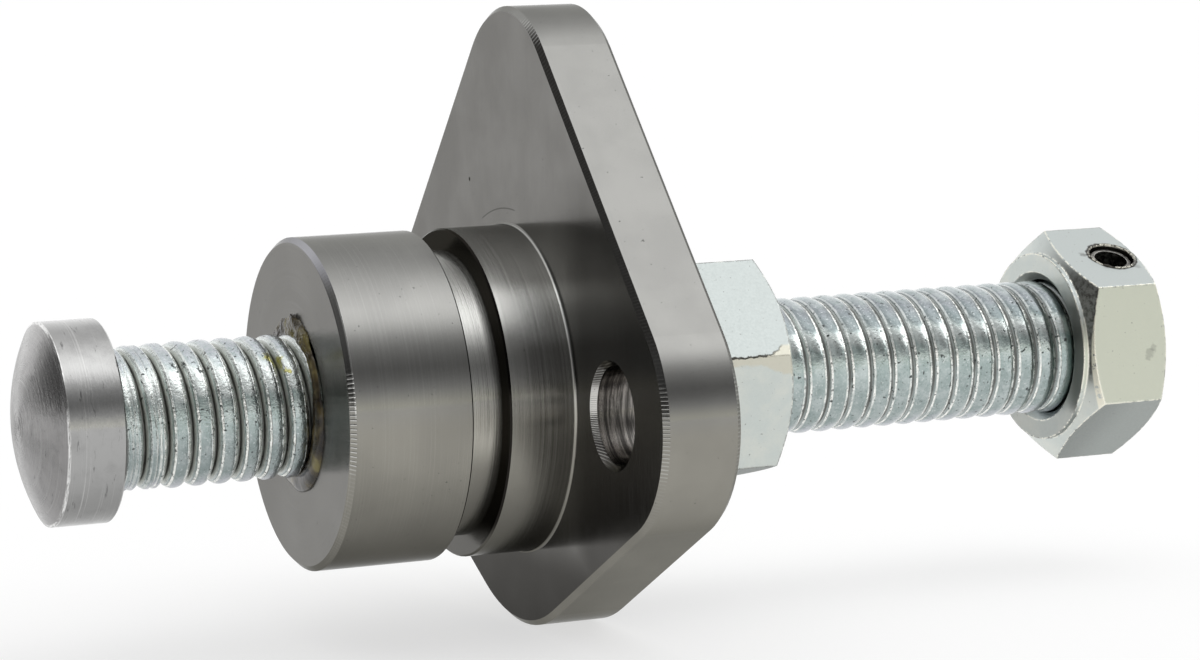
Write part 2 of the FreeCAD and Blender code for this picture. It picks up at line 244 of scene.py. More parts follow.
# how much of that is left towards the tip's end, a dark wall, and towards the head's end
ROOM_ENDS = ((-1.0, 0.12), (-0.72, 0.12), (-0.42, 1.0), (0.55, 1.0), (0.85, 1.35), (1.0, 1.35))
ROOM_LEVEL = 1.22
RAMP_TOP = 2.0             # a ramp's colours stay under 1, and this gives them their level
WARM_UNDER = 12            # degrees: the table warms the light under these
WARM_LOSS = (0.0, 0.01, 0.10)     # of its red, green and blue, at the horizon


def make_camera():
    """The photograph's viewpoint, found by fitting one camera to the object's outlines."""
    data = bpy.data.cameras.new("photo_camera")
    data.sensor_width = 36.0
    data.lens = CAMERA_LENS
    data.clip_start = 0.01
    data.clip_end = 100.0
    item = bpy.data.objects.new("photo_camera", data)
    item.rotation_mode = "QUATERNION"
    item.rotation_quaternion = Quaternion(CAMERA_TURN.normalized(), CAMERA_TURN.length)
    item.location = CAMERA_PLACE * MM
    SCENE.collection.objects.link(item)
    SCENE.camera = item


def make_world():
    """The studio's light, by direction."""
    world = bpy.data.worlds.new("studio")
    SCENE.world = world
    world.use_nodes = True
    n = Nodes(world.node_tree)
    way = n.parts(n.add("ShaderNodeTexCoord").outputs["Generated"])
    up = n.math("MAXIMUM", way[2], 0.0)
    roll = n.math("DIVIDE", n.math("ARCTAN2", up, n.product(way[1], -1.0)), math.pi)

    def side(levels):
        stops = []
        for degrees, level in levels:
            warm = max(0.0, 1.0 - degrees / WARM_UNDER)
            stops.append((degrees / 180, [level * (1 - loss * warm) for loss in WARM_LOSS]))
        return n.ramp(roll, stops, 1 / RAMP_TOP)

    room = n.mix(n.step(way[0], *ROOM_TURNS), side(ROOM_LEFT), side(ROOM_RIGHT))
    ends = n.ramp(n.math("MULTIPLY_ADD", way[0], 0.5, 0.5),
                  [((x + 1) / 2, [level] * 3) for x, level in ROOM_ENDS], 1 / RAMP_TOP)
    shine = n.tree.nodes["Background"].inputs
    n.give(shine["Color"], n.mix(1.0, room, ends, "MULTIPLY"))
    n.give(shine["Strength"], RAMP_TOP * RAMP_TOP * ROOM_LEVEL)


def make_floor():
    """The white table."""
    bpy.ops.mesh.primitive_plane_add(size=FLOOR_SIZE, location=(0, 0, FLOOR_HEIGHT * MM))
    floor = bpy.context.object
    floor.name = "studio_floor"
    n = Material("white_table")
    n.look("Base Color", (1.0, 1.0, 1.0, 1.0))
    n.look("Roughness", 0.9)
    n.look("Specular IOR Level", 0.0)
    # what the eye, metal and glass see of it is part plain white, which softens the shadow
    path = n.add("ShaderNodeLightPath").outputs
    seen = n.either(path["Is Camera Ray"], path["Is Glossy Ray"], path["Is Transmission Ray"])
    white = n.add("ShaderNodeEmission", {"Color": (1.0, 1.0, 1.0, 1.0), "Strength": 1.0})
    both = n.add("ShaderNodeMixShader", {0: n.product(seen, FLOOR_GLOW),
                                         1: n.shader.outputs[0], 2: white.outputs[0]})
    n.give(n.tree.nodes["Material Output"].inputs["Surface"], both.outputs[0])
    floor.data.materials.append(n.material)


# ---------------------------------------------------------------- the housing's metal

# spans of the housing's parts along X, and how softly their masks end
NOSE_CHAMFER = (-15.37, -15.06)
GROOVE = (-7.05, -4.65)
GROOVE_WALL = (-4.62, -4.47)
COLLAR = (-4.47, -0.05)
FLANGE = (-0.03, 5.33)
SHARP = 0.02

TURNED_GREYS = ((0.252, 0.251, 0.241), (0.280, 0.279, 0.267))
FACED_GREYS = ((0.248, 0.243, 0.234), (0.284, 0.279, 0.269))
NOSE_FACE = (0.34, 0.335, 0.325)
FLANGE_SHADE = (0.025, 0.023, 0.022)
GROOVE_HIGHLIGHT = (0.52, 0.52, 0.50)
COLLAR_HIGHLIGHT = (0.85, 0.86, 0.84)
TURNING_MARKS = (0.42, 0.42, 0.41)
UNDERSIDE_SHADE = (0.02, 0.02, 0.02)
TABLE_REFLECTION = (1.04, 1.01, 0.93)
EDGE_SHADE = (0.03, 0.028, 0.025)
DRILLED_GREYS = ((0.10, 0.095, 0.09), (0.50, 0.475, 0.45))
HOLE_CHAMFER_HIGHLIGHT = (0.62, 0.61, 0.58)
SCRATCH = (0.04, 0.038, 0.035)
WALL_SHADE = (0.020, 0.018, 0.016)
CHAMFER_TOP_HIGHLIGHT = (0.40, 0.40, 0.43)
CHAMFER_RIM_GLINT = (0.98, 0.98, 0.95)
CHATTER = (0.60, 0.60, 0.58)
BODY_SPECKS = (0.04, 0.04, 0.04)

# a pit and a scribed arc that the cutter left on the flange's face
PIT_PLACE, PIT_SIZE = (0.0, 6.89, 13.68), 0.17
ARC_RADII, ARC_ANGLES = (12.06, 12.12), (-0.08, 0.38)


def body_metal():
    """Turned nose and milled flange in one dark grey metal."""
    n = Metal("turned_dark_metal", 0.2)
    x, y, z, radius, angle = n.x, n.y, n.z, n.radius, n.angle
    place, facing = n.place, n.facing
    endwise, far_y, far_z = (n.math("ABSOLUTE", value) for value in (facing[0], y, z))

    # the parts of the housing; a slope is a chamfer on the flange or its holes
    end_face = n.step(endwise, 0.9, 0.98)
    flange = n.product(n.within(x, *FLANGE, SHARP), n.step(radius, 10.9, 11.1))
    flange_face = n.product(end_face, flange)
    flange_edge = n.math("SUBTRACT", flange, flange_face)
    slope = n.product(n.step(endwise, 0.3, 0.5), n.step(endwise, 0.9, 0.8), flange)
    nose_chamfer = n.product(n.within(x, *NOSE_CHAMFER, 0.03), n.step(radius, 10.6, 10.7))
    groove = n.product(n.within(x, *GROOVE, SHARP), n.step(radius, 10.0, 9.8))
    groove_wall = n.product(n.step(facing[0], -0.3, -0.5), n.within(x, *GROOVE_WALL, SHARP),
                            n.step(radius, 11.1, 11.0))
    collar = n.product(n.within(x, *COLLAR, SHARP), n.step(radius, 11.3, 11.2))
    hole_wall = n.product(flange_edge, n.step(far_z, 3.5, 3.3), n.step(far_y, 21.8, 21.4))
    hole_edge = n.product(slope, n.step(far_z, 4.2, 4.0), n.step(far_y, 20.8, 20.5))

    # the shine spreads along X on turned sides, outwards on turned faces, across on milled ones
    outwards = n.mix(flange_face, n.join(0.0, y, z), (0.0, 1.0, 0.0))
    n.look("Anisotropic", 0.9)
    n.look("Tangent", n.mix(end_face, (1.0, 0.0, 0.0), outwards))
    n.look("Specular Tint", (0.5, 0.5, 0.49, 1.0))      # dull at a glancing angle

    # chatter left across the chamfers by the tool, painted stronger as glints at mid-height and at
    # the flange's apex
    uneven = n.streaks(((angle, 30.0), (x, 1.0)), 2.0)
    ticks = n.blend(nose_chamfer, n.math("SINE", n.product(angle, 600.0)),
                    n.math("SINE", n.product(angle, 230.0)))
    glint_heights = n.either(n.within(z, -2.6, 2.6, 1.0), n.within(z, 23.4, 24.5, 0.4))
    ticks = n.product(n.either(nose_chamfer, slope), n.step(ticks, 0.0, 1.0), uneven,
                      n.math("MULTIPLY_ADD", glint_heights, n.blend(flange, 1.25, 0.7), 0.12))

    # rings on turned metal, lines up a milled face, satin on its sides
    turning = n.streaks(((x, 9.0), (radius, 9.0), (angle, 0.4)), 3.0, 0.65)
    grinding = n.streaks(((x, 7.0), (y, 9.0), (z, 0.3)), 3.0, 0.6)
    satin = n.noise(place, 9.0, 2.0, 0.6)
    pattern = n.blend(flange_face, n.blend(flange_edge, turning, satin), grinding)

    cloud = n.step(n.noise(place, 0.22, 3.0), 0.35, 0.7)
    turned = n.mix(cloud, *TURNED_GREYS)
    faced = n.mix(cloud, *FACED_GREYS)
    faced = n.paint(faced, NOSE_FACE, n.outside(flange), 0.5)
    # painted shade: the flange's face darkens low down, and on its near ear
    low = n.either(n.step(z, -7.0, -12.0, 0.0, 0.70),
                   n.product(n.step(y, -7.0, -13.0, 0.0, 0.62), n.step(z, 17.0, 9.0)))
    faced = n.paint(faced, FLANGE_SHADE, flange, low)
    # painted highlight: the groove's floor and the collar are paler over the front
    highlit = n.either(n.product(groove, n.step(z, -4.2, -1.6), n.step(z, 3.4, 5.2, 0.62, 1.5)),
                     n.product(collar, n.step(z, -3.0, 0.5), n.step(z, 4.4, 5.6, 0.6, 1.0),
                               n.step(z, 8.2, 7.2, 0.4, 1.0)))
    colour = n.mix(highlit, n.mix(end_face, turned, faced), GROOVE_HIGHLIGHT)
    # painted highlight across the collar at one height, stronger towards the flange
    colour = n.paint(colour, COLLAR_HIGHLIGHT, collar, n.step(x, -4.2, -2.2, 0.0, 0.6),
                     n.within(z, 4.8, 6.8, 1.2))
    colour = n.paint(colour, TURNING_MARKS, n.step(pattern, 0.45, 0.8, 0.0, 0.3),
                     n.outside(flange))
    # painted shade on the undersides of the nose, groove and collar
    colour = n.paint(colour, UNDERSIDE_SHADE, n.step(facing[2], -0.2, -0.85),
                     n.step(radius, 11.2, 11.1), n.outside(end_face), 0.47)
    # painted reflection: a warm tint from the table on what faces down
    warm_reflected = n.product(n.step(facing[2], 0.2, -0.1), n.outside(end_face))
    colour = n.mix(warm_reflected, colour, TABLE_REFLECTION, "MULTIPLY")
    # painted shade on the flange's chamfers, from above mid-height to short of the apex
    colour = n.paint(colour, EDGE_SHADE, slope, n.step(z, 2.0, 6.0), n.step(z, 24.6, 23.4), 0.85)

    # the bolt holes: drilled rings inside, and a painted highlight on the chamfer in front, at
    # mid-height, with painted shade above and below it
    rings = n.streaks(((x, 2.6), (z, 0.12)), 4.0, 0.75)
    drilled = n.mix(n.step(rings, 0.42, 0.60), *DRILLED_GREYS)
    colour = n.paint(colour, drilled, hole_wall, 0.9)
    colour = n.paint(colour, HOLE_CHAMFER_HIGHLIGHT, hole_edge, n.within(z, -1.4, 1.3, 0.8))
    colour = n.paint(colour, EDGE_SHADE, hole_edge, n.step(far_z, 1.0, 2.2), 0.6)

    pit = n.step(n.distance(place, PIT_PLACE), PIT_SIZE, 0.11)
    arc = n.product(flange_face, n.within(radius, *ARC_RADII, 0.03),
                    n.within(angle, *ARC_ANGLES, 0.04), 0.5)
    colour = n.paint(colour, SCRATCH, n.either(pit, arc))
    # painted shade on the groove's wall, weaker at its foot
    colour = n.paint(colour, WALL_SHADE, groove_wall, n.step(z, -9.6, -7.6, 0.4, 1.0))
    # painted light on the nose's chamfer: paler over the top, with a painted glint on its outer
    # edge in front
    colour = n.paint(colour, CHAMFER_TOP_HIGHLIGHT, nose_chamfer, n.step(z, 7.6, 9.6, 0.0, 0.9))
    colour = n.paint(colour, CHAMFER_RIM_GLINT, nose_chamfer, n.step(x, -15.13, -15.11),
                     n.within(z, 1.5, 6.5, 1.5), 0.9)
    colour = n.paint(colour, CHATTER, ticks)
    specks = n.step(n.noise(place, 4.3, 1.0), 0.76, 0.80)
    n.look("Base Color", n.paint(colour, BODY_SPECKS, specks, 0.6))
    n.look("Roughness", n.step(pattern, 0.25, 0.75, 0.16, 0.24))
    depth = n.blend(flange, n.blend(groove, 0.3, 1.2), 0.12)
    n.look("Normal", n.bump(n.math("MULTIPLY_ADD", pattern, depth, n.product(ticks, 3.0)), 0.006))
    return n.material


# ---------------------------------------------------------------- the tip's metal

# lit and shaded copies of the tip's metal: painted light and shade
TIP_SIDES_LIT_SHADED = ((0.39, 0.39, 0.385), (0.30, 0.30, 0.295))       # in the light, and below
TIP_FACES_SHADED_LIT = ((0.25, 0.245, 0.243), (0.315, 0.31, 0.307))     # low, and high
TIP_GRIME = (0.13, 0.13, 0.13)
TIP_STREAKS = (0.08, 0.08, 0.08)
TIP_MARKS = (0.66, 0.66, 0.65)
TIP_RIM = (0.80, 0.80, 0.79)
TIP_RIM_SPAN = (-32.48, -32.36)


def tip_metal():
    """Bright turned aluminium, with rings round its face and grime in them."""
    n = Metal("turned_aluminium", 0.25)
    x, z, radius, angle, facing = n.x, n.z, n.radius, n.angle, n.facing
    # turned round X: the marks run round, so the shine spreads across them
    n.look("Anisotropic", 0.85)
    n.look("Anisotropic Rotation", 0.25)
    n.look("Tangent", n.add("ShaderNodeTangent", direction_type="RADIAL", axis="X").outputs[0])

    face = n.step(n.product(facing[0], -1.0), 0.4, 0.8)
    marks = n.streaks(((x, 7.0), (radius, 7.0), (angle, 0.5)), 3.0, 0.6)
    streaks = n.streaks(((x, 3.0), (radius, 3.5), (angle, 4.0)), 5.0, 0.7)
    grime = n.noise(n.place, 0.5, 5.0, 0.65)
    # painted shade on the sides below, and painted light on the face high up
    colour = n.mix(face, n.mix(n.step(facing[2], -0.3, -0.8), *TIP_SIDES_LIT_SHADED),
                   n.mix(n.step(z, -3.0, 4.0), *TIP_FACES_SHADED_LIT))
    darkened = n.blend(face, n.step(grime, 0.45, 0.75, 0.0, 0.25), n.step(grime, 0.40, 0.70, 0.0, 0.4))
    colour = n.paint(colour, TIP_GRIME, darkened)
    colour = n.paint(colour, TIP_STREAKS, n.step(streaks, 0.60, 0.70, 0.0, 0.75))
    colour = n.paint(colour, TIP_MARKS, n.step(marks, 0.55, 0.8, 0.0, 0.5))
    n.look("Base Color", n.paint(colour, TIP_RIM, n.within(x, *TIP_RIM_SPAN, 0.05),
                                 n.step(radius, 6.35, 6.5), n.step(streaks, 0.4, 0.6)))
    rough = n.step(n.math("ADD", marks, grime), 0.7, 1.3, 0.16, 0.30)
    n.look("Roughness", n.blend(face, n.product(rough, 0.75), rough))
    # fine rings round the nub in the middle of the face
    nub = n.product(n.step(radius, 1.6, 0.8), n.math("SINE", n.product(radius, 14.0)))
    height = n.math("ADD", marks, n.math("MULTIPLY_ADD", streaks, 1.5, n.product(nub, 1.2)))
    n.look("Normal", n.bump(height, 0.014))
    return n.material


# ---------------------------------------------------------------- the thread's zinc

ZINC_LANDS = ((0.38, 0.455, 0.44), (0.56, 0.625, 0.615))
ZINC_SHADE = (0.05, 0.06, 0.075)
ZINC_AWAY_SHEEN = (0.54, 0.54, 0.61)
FROST_DARK = (0.12, 0.155, 0.15)
FROST_LIGHT = (0.82, 0.86, 0.86)
ZINC_GLARE = (0.86, 0.89, 0.87)
ZINC_FLANKS = ((0.70, 0.72, 0.69), (0.55, 0.58, 0.57))       # near the tip, and the head
VALLEY_SHADE = (0.10, 0.095, 0.085)
RIM_WEAR_GLINT = (0.97, 0.98, 0.94)
RIM_BREAKS = (0.14, 0.15, 0.15)
ZINC_SPECKS = (0.08, 0.09, 0.09)
NICK = (0.05, 0.055, 0.055)
SMEAR = (0.44, 0.41, 0.07)

# marks on the thread: where, how big, and whether only its rim is cut in
NICKS = (
    ((-24.22, -2.91, 3.74), 0.45, True), ((-22.58, -3.30, 3.41), 0.45, True),
    ((-22.26, -2.21, 4.19), 0.22, False), ((-19.10, -2.62, 3.95), 0.24, False),
    ((-25.01, -3.01, -3.66), 0.20, False), ((26.74, -4.17, -2.25), 0.26, True),
    ((29.66, -3.43, 3.27), 0.20, False),
)
# sealant smeared on the thread: where, and how big
SMEARS = (((-17.85, -3.02, 3.50), 0.75), ((-17.03, -3.70, 2.74), 0.35))
NOISE_MIDDLE = 0.5         # what noise adds to a place on the average


def zinc_steel():
    """Bluish zinc on a rolled thread: frosted lands with painted shade, sheen and highlight,
    bright bruised edges painted as glints, dull flanks with painted shade in the valleys.
    """
    n = Metal("zinc_plated_thread", 0.25)
    x, z, place, facing = n.x, n.z, n.place, n.facing
    patches = n.noise(place, 0.8, 4.0, 0.6)
    grain = n.noise(place, 6.0, 4.0, 0.7)
    coarse = n.noise(place, 3.4, 3.0, 0.6)
    specks = n.noise(place, 3.1, 2.0, 0.5)
    patchy = n.noise(place, 1.4, 2.0, 0.5)
    headward = n.step(x, -10.0, 8.0)

    # how far under the crest, as it would be on the deep thread near the tip: this undoes
    # the shallower shape of the head's end, and there the bruised edges lie deeper
    sunk = n.math("SUBTRACT", CREST_RADIUS, n.radius)
    left = n.math("MAXIMUM", n.outside(n.math("DIVIDE", sunk, HEAD_DEPTH)), 0.1)
    sunk = n.blend(n.step(x, *DEPTH_CHANGES), sunk,
                   n.product(n.math("LOGARITHM", left, math.e), -HEAD_DEPTH))
    sunk = n.math("SUBTRACT", sunk, n.product(headward, 0.08))
    right_rim = n.product(n.step(facing[0], 0.05, 0.2), n.within(sunk, 0.09, 0.25, 0.04))
    left_rim = n.product(n.step(facing[0], -0.05, -0.2), n.within(sunk, 0.12, 0.20, 0.03),
                         n.step(facing[2], 0.5, 0.1, 0.3, 1.0))
    rim = n.product(n.either(right_rim, left_rim), n.step(patchy, 0.32, 0.60, 0.3, 1.0),
                    n.step(x, -26.6, -25.2, 0.35, 1.0))
    flank = n.step(sunk, 0.26, 0.38)

    land = n.mix(n.step(patches, 0.35, 0.7), *ZINC_LANDS)
    shade = n.either(n.product(n.within(facing[2], 0.60, 0.80, 0.12),
                               n.blend(headward, 0.12, 0.62)),
                     n.product(n.step(facing[2], 0.1, -0.45), n.blend(headward, 0.34, 0.20)))
    land = n.paint(land, ZINC_SHADE, shade)
    # painted sheen: paler and bluer where it turns away over the top and below
    turned_away = n.either(n.product(n.step(facing[2], 0.6, 0.9), n.blend(headward, 0.5, 0.3)),
                           n.step(facing[2], -0.74, -0.92, 0.0, 0.6))
    land = n.paint(land, ZINC_AWAY_SHEEN, turned_away, n.step(coarse, 0.35, 0.6, 0.45, 1.15))
    land = n.paint(land, FROST_DARK, n.step(grain, 0.44, 0.30, 0.0, 0.6))
    land = n.paint(land, FROST_LIGHT, n.step(grain, 0.56, 0.70, 0.0, 0.55))
    # painted highlight on the lands that face partly up
    land = n.paint(land, ZINC_GLARE,
                   n.within(facing[2], 0.38, n.blend(headward, 0.64, 0.46), 0.12),
                   n.blend(headward, 0.6, 0.45))
    dull = n.mix(headward, *ZINC_FLANKS)
    # painted shade deep in the valleys
    dull = n.paint(dull, VALLEY_SHADE, n.step(sunk, 0.50, 0.66, 0.0, 0.72))
    colour = n.mix(flank, land, dull)
    # the bruised edges are worn bright, and painted white as glints
    colour = n.paint(colour, RIM_WEAR_GLINT, rim)
    colour = n.paint(colour, RIM_BREAKS, rim, n.step(coarse, 0.42, 0.34))
    colour = n.paint(colour, ZINC_SPECKS, n.step(specks, 0.66, 0.71))

    waves = n.add("ShaderNodeTexNoise", {"Vector": place, "Scale": 2.6}).outputs["Color"]
    ragged = n.add("ShaderNodeVectorMath", {0: place, 1: waves}, operation="ADD").outputs[0]

    def away_from(spot):
        return n.distance(ragged, tuple(part + NOISE_MIDDLE for part in spot))

    cut = 0.0
    for spot, size, hollow in NICKS:
        if hollow:
            mark = n.product(n.within(away_from(spot), size * 0.85, size, 0.05),
                             n.step(z, spot[2] + 0.1, spot[2] - 0.1))
        else:
            mark = n.step(away_from(spot), size, size * 0.7)
        cut = n.either(mark, cut)
    colour = n.paint(colour, NICK, cut, 0.85)
    for spot, size in SMEARS:
        colour = n.paint(colour, SMEAR, n.step(away_from(spot), size, size * 0.5, 0.0, 0.8))
    n.look("Base Color", colour)
    rough = n.product(n.step(grain, 0.3, 0.75, 0.09, 0.24), n.blend(headward, 1.0, 0.8))
    n.look("Roughness", n.blend(rim, n.blend(flank, rough, 0.5), n.blend(headward, 0.16, 0.22)))
    height = n.math("MULTIPLY_ADD", coarse, n.math("MULTIPLY_ADD", rim, 4.5, 2.0),
                    n.math("SUBTRACT", grain, n.product(cut, 2.0)))
    n.look("Normal", n.bump(n.product(height, n.blend(headward, 1.0, 0.5)), 0.024))
    return n.material


# ---------------------------------------------------------------- the nuts' zinc

NUT_GREYS = ((0.63, 0.675, 0.65), (0.70, 0.725, 0.68))
HEAD_FRONT_REFLECTION = (0.67, 0.695, 0.595)
NUT_TOP_SHADE = (0.52, 0.56, 0.55)
NUT_UNDERSIDE_SHADE = ((0.25, 0.27, 0.258), (0.32, 0.345, 0.33))       # and further along the head
CORNER_SHADE = (0.07, 0.068, 0.062)
PIN_HOLE_SHADE = (0.035, 0.032, 0.028)
SMUDGE = (0.12, 0.12, 0.115)
NUT_SPECKS = (0.20, 0.20, 0.19)
WORN_EDGE = (0.98, 0.96, 0.84)
DIRTY_EDGE = (0.16, 0.15, 0.13)
CORNER_GLINT = (0.99, 0.96, 0.82)
LOCK_CORNER_WARM_REFLECTION = (0.66, 0.635, 0.53)
LOCK_CORNER_EDGE_SHADE = (0.07, 0.068, 0.06)

# smudges on the head's flats: where, how big, how dark
SMUDGES = (
    ((42.9, -2.6, 6.7), 0.30, 0.6), ((46.2, -4.4, 5.9), 0.35, 0.35),
    ((45.5, -7.1, -0.2), 0.40, 0.3), ((45.9, -7.1, 0.3), 0.25, 0.25),
)


def nut_steel():
    """Pale zinc on machined hexagons: satin flats, mottled."""
    n = Metal("zinc_plated_nut", 0.3)
    x, y, z, radius = n.x, n.y, n.z, n.radius
    place, facing = n.place, n.facing
    patches = n.noise(place, 0.45, 5.0, 0.6)
    grain = n.noise(place, 7.0, 3.0, 0.6)
    specks = n.noise(place, 3.7, 2.0, 0.5)
    nicks = n.noise(place, 2.2, 4.0, 0.7)
    edge, flat = n.rounded(0.20, 6)
    worn = n.step(flat, 0.995, 0.93)
    head = n.step(x, 38.0, 39.0)

    colour = n.mix(n.step(patches, 0.35, 0.7), *NUT_GREYS)
    # painted reflection: a warm tint on the head's front flat; painted shade on flats facing up
    # and, darker, on flats facing down
    colour = n.paint(colour, HEAD_FRONT_REFLECTION, head, n.step(facing[1], -0.9, -0.98))
    colour = n.paint(colour, NUT_TOP_SHADE, n.step(facing[2], 0.3, 0.6))
    underside_shade = n.mix(n.step(x, 41.5, 45.0), *NUT_UNDERSIDE_SHADE)
    colour = n.paint(colour, underside_shade, n.step(facing[2], -0.5, -0.7))

    # painted shade: the head's turned corners are dark over the front, broken up by pitting, and
    # the washer ring's face is shaded on its near side and low down
    corner = n.product(head, n.within(facing[0], -0.94, -0.6, 0.04), n.step(radius, 6.6, 6.7))
    pitted = n.step(n.noise(place, 3.0, 4.0, 0.75), 0.35, 0.60)
    shaded_corner = n.product(corner, n.within(z, -1.0, 4.8, 1.6), n.step(y, 0.0, -2.5),
                      n.blend(pitted, 0.95, 0.65))
    ring = n.product(head, n.step(facing[0], -0.95, -0.98), n.step(radius, 6.9, 6.7))
    ring = n.either(n.product(ring, n.within(z, -3.5, 3.0, 2.0), n.step(y, -3.0, -5.5), 0.8),
                    n.product(ring, n.step(z, -2.0, -4.0), 0.38))
    colour = n.paint(colour, CORNER_SHADE, n.either(shaded_corner, ring))

    # painted shade in the pin's hole, with a ragged dark ring round it, and smudges
    sideways = n.math("ADD", n.product(y, math.cos(PIN_TURN)), n.product(z, math.sin(PIN_TURN)))
    from_pin = n.hypot(n.math("SUBTRACT", x, PIN_X), sideways)
    ragged = n.math("ADD", from_pin, n.math("MULTIPLY_ADD", nicks, 0.5, -0.25))
    darkened = n.either(n.step(from_pin, 1.74, 1.71), n.step(ragged, 1.95, 1.80))
    colour = n.paint(colour, PIN_HOLE_SHADE, head, n.step(z, 5.0, 5.2), darkened)
    for spot, size, dark in SMUDGES:
        away = n.math("ADD", n.distance(place, spot),
                      n.math("MULTIPLY_ADD", nicks, 3.0 * size, -size))
        colour = n.paint(colour, SMUDGE, n.step(away, size * 1.7, size, 0.0, dark))
    colour = n.paint(colour, NUT_SPECKS, n.step(specks, 0.70, 0.76, 0.0, 0.7))

    # edges worn bright, with dirt between, and painted glints on the head's front flat and the
    # corner beside it
    glint = n.product(head, n.within(z, -4.0, 2.4, 0.5), n.step(y, -6.0, -6.5),
                      n.step(x, 43.2, 42.4))
    clean = n.math("SUBTRACT", nicks, n.blend(head, 0.10, 0.0))
    clean = n.math("ADD", clean, n.product(glint, 0.3))
    colour = n.paint(colour, WORN_EDGE, worn, n.step(clean, 0.45, 0.55))
    colour = n.paint(colour, DIRTY_EDGE, worn, n.step(clean, 0.45, 0.38))
    colour = n.paint(colour, CORNER_GLINT, corner, n.step(y, -6.80, -6.92),
                     n.within(z, -4.2, 2.2, 0.6), n.step(nicks, 0.36, 0.46))

    # the lock nut's front corner: a dark line of painted shade that bends up at its end, as a
    # larger chamfer's edge would, with a warm painted reflection under it
    shaky = n.math("MULTIPLY_ADD", n.math("SUBTRACT", nicks, 0.5), 0.5, z)
    bent = n.math("SUBTRACT", shaky, n.step(x, 15.2, 18.4, 0.0, 1.5))
    under = n.math("ADD", shaky, n.step(x, 14.6, 17.0, 0.0, 0.8))
    lock_corner = n.product(n.step(x, 20.0, 19.0), n.step(y, -7.3, -7.5))
    colour = n.paint(colour, LOCK_CORNER_WARM_REFLECTION, lock_corner, n.step(bent, 1.90, 1.84),
                     n.step(under, 1.15, 1.40), 0.8)
    colour = n.paint(colour, LOCK_CORNER_EDGE_SHADE, lock_corner, n.within(bent, 1.83, 1.91, 0.05),
                     n.step(x, 16.6, 14.8, 0.5, 1.0))

    n.look("Base Color", colour)
    rough = n.math("SUBTRACT", n.step(grain, 0.3, 0.75, 0.46, 0.56), n.product(head, 0.14))
    n.look("Roughness", n.blend(worn, rough, 0.2))
    n.look("Normal", n.bump(grain, 0.006, normal=edge))
    return n.material


# ---------------------------------------------------------------- the pin and the sealant

PIN_GREYS = ((0.10, 0.095, 0.09), (0.34, 0.33, 0.31))
PIN_EDGE = (0.80, 0.79, 0.75)
AMBERS = (
    (0.38, (0.012, 0.008, 0.005)), (0.50, (0.040, 0.030, 0.014)),
    (0.62, (0.095, 0.073, 0.032)), (0.74, (0.21, 0.18, 0.065)),
)


def pin_steel():
    """Dark spring steel."""
    n = Metal("spring_steel", 0.3)
    grain = n.noise(n.place, 4.0, 4.0, 0.6)
    edge, flat = n.rounded(0.08, 4)
    colour = n.mix(n.step(grain, 0.4, 0.65), *PIN_GREYS)
    n.look("Base Color", n.paint(colour, PIN_EDGE, n.step(flat, 0.99, 0.90)))
    n.look("Roughness", n.step(grain, 0.3, 0.75, 0.25, 0.45))
    n.look("Normal", n.bump(grain, 0.02, normal=edge))
    return n.material


def sealant():
    """Glossy amber thread sealant, dark where it is thick."""
    n = Material("amber_sealant")
    place = n.millimetres()
    up = n.parts(place)[2]
    depth = n.math("MULTIPLY_ADD", n.step(up, 0.5, 4.5), 0.03, n.noise(place, 0.8))
    n.look("Base Color", n.ramp(depth, AMBERS))
    n.look("Roughness", 0.16)
    n.look("Specular IOR Level", 0.42)
    lumps = n.product(n.noise(place, 1.9, 3.0, 0.6), n.step(up, 2.5, 4.5, 0.15, 1.0))
    n.look("Normal", n.bump(lumps, 0.22))
    return n.material


# ---------------------------------------------------------------- pieces

WELD = 0.0005              # points nearer than this become one
FLAT_END = 0.9999          # a face that faces along X more than this is flat, not smooth


def mesh_piece(name, points, faces, material, body):
    data = bpy.data.meshes.new(name)
    data.from_pydata([Vector(point) * MM for point in points], [], faces)
    # rows that lie on each other become one, and points that no face uses go
    shell = bmesh.new()
    shell.from_mesh(data)
    bmesh.ops.remove_doubles(shell, verts=shell.verts[:], dist=WELD * MM)
    loose = [point for point in shell.verts if not point.link_faces]
    bmesh.ops.delete(shell, geom=loose, context="VERTS")
    for face in shell.faces:
        face.smooth = abs(face.normal.x) < FLAT_END
    shell.to_mesh(data)
    shell.free()
    data.validate()
    data.materials.append(material)
    item = bpy.data.objects.new(name, data)
    SCENE.collection.objects.link(item)
    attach(item, body)
    return item


def ring_faces(start, steps, columns):
    """Faces between rings of points, each ring closed on itself."""
    faces = []
    for ring in range(start, start + steps * columns, columns):
        for column in range(columns):
            low, across = ring + column, ring + (column + 1) % columns
            faces.append((low, across, across + columns, low + columns))
    return faces


def surface(name, steps, columns, spot, material, body):
    """A sheet closed round its columns: spot gives the point at a fraction along and a turn."""
    points = [spot(step / steps, column / columns * math.tau)
              for step in range(steps + 1) for column in range(columns)]
    return mesh_piece(name, points, ring_faces(0, steps, columns), material, body)


def round_x(x, radius, theta):
    return Vector((x, radius * math.sin(theta), radius * math.cos(theta)))


def table(rows, place):
    """Reads a table of (place, value, value...) with a soft step from row to row."""
    for low, high in zip(rows, rows[1:]):
        if place <= high[0]:
            part = min(max((place - low[0]) / (high[0] - low[0]), 0.0), 1.0)
            part = part * part * (3 - 2 * part)
            return [a + (b - a) * part for a, b in zip(low[1:], high[1:])]
    return rows[-1][1:]


# ---------------------------------------------------------------- the adjuster's thread

